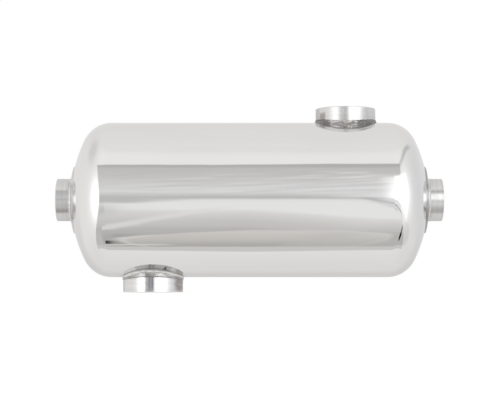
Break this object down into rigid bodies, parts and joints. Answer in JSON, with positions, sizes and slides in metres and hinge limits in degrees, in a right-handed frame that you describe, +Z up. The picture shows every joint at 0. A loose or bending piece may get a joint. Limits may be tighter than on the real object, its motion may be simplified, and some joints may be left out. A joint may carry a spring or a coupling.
{
  "type": "pool heat exchanger",
  "caption": "Horizontal shell-and-tube heat exchanger for pool water: polished steel vessel, domed ends, two side sockets and two end sockets.",
  "frame": {"origin": "middle of the vessel's axis. The centre of the whole object's box is less than 0.5 mm from it", "axes": "+X along the vessel's axis towards the right-hand heating socket, +Z up through the upper pool socket, and +Y to the back"},
  "size_m": [0.3476, 0.1396, 0.1657],
  "materials": {
    "polished_steel": "stainless steel polished to a mirror, with faint polishing lines",
    "satin_steel": "stainless steel sheet, satin",
    "turned_steel": "stainless steel with turning marks",
    "weld_metal": "stainless weld metal, rippled and brushed",
    "tube_steel": "drawn stainless tube",
    "plate_steel": "mill-finished stainless plate",
    "rod_steel": "stainless bar"
  },
  "bodies": {
    "root": {"baffle_1": "plate_steel", "baffle_2": "plate_steel", "baffle_3": "plate_steel", "baffle_4": "plate_steel", "dome_left": "polished_steel", "dome_right": "polished_steel", "end_disc_left": "satin_steel", "end_disc_right": "satin_steel", "girth_weld_left": "polished_steel", "girth_weld_right": "polished_steel", "heating_socket_left": "turned_steel", "heating_socket_right": "turned_steel", "heating_weld_left": "weld_metal", "heating_weld_right": "weld_metal", "pool_socket_bottom": "turned_steel", "pool_socket_top": "turned_steel", "pool_weld_bottom": "weld_metal", "pool_weld_top": "weld_metal", "shell_barrel": "polished_steel", "tie_rod_nuts": "rod_steel", "tie_rod_spacers": "rod_steel", "tie_rods": "rod_steel", "tube_01": "tube_steel", "tube_02": "tube_steel", "tube_03": "tube_steel", "tube_04": "tube_steel", "tube_05": "tube_steel", "tube_06": "tube_steel", "tube_07": "tube_steel", "tube_08": "tube_steel", "tube_09": "tube_steel", "tube_10": "tube_steel", "tube_11": "tube_steel", "tube_12": "tube_steel", "tube_13": "tube_steel", "tube_14": "tube_steel", "tube_15": "tube_steel", "tube_16": "tube_steel", "tube_17": "tube_steel", "tube_18": "tube_steel", "tube_19": "tube_steel", "tube_20": "tube_steel", "tube_21": "tube_steel", "tube_22": "tube_steel", "tube_23": "tube_steel", "tube_24": "tube_steel", "tube_25": "tube_steel", "tube_26": "tube_steel", "tube_27": "tube_steel", "tube_28": "tube_steel", "tube_29": "tube_steel", "tube_30": "tube_steel", "tube_31": "tube_steel", "tube_end_welds_left": "weld_metal", "tube_end_welds_right": "weld_metal", "tube_sheet_left": "plate_steel", "tube_sheet_right": "plate_steel", "tube_sheet_weld_left": "weld_metal", "tube_sheet_weld_right": "weld_metal"}
  },
  "joints": []
}
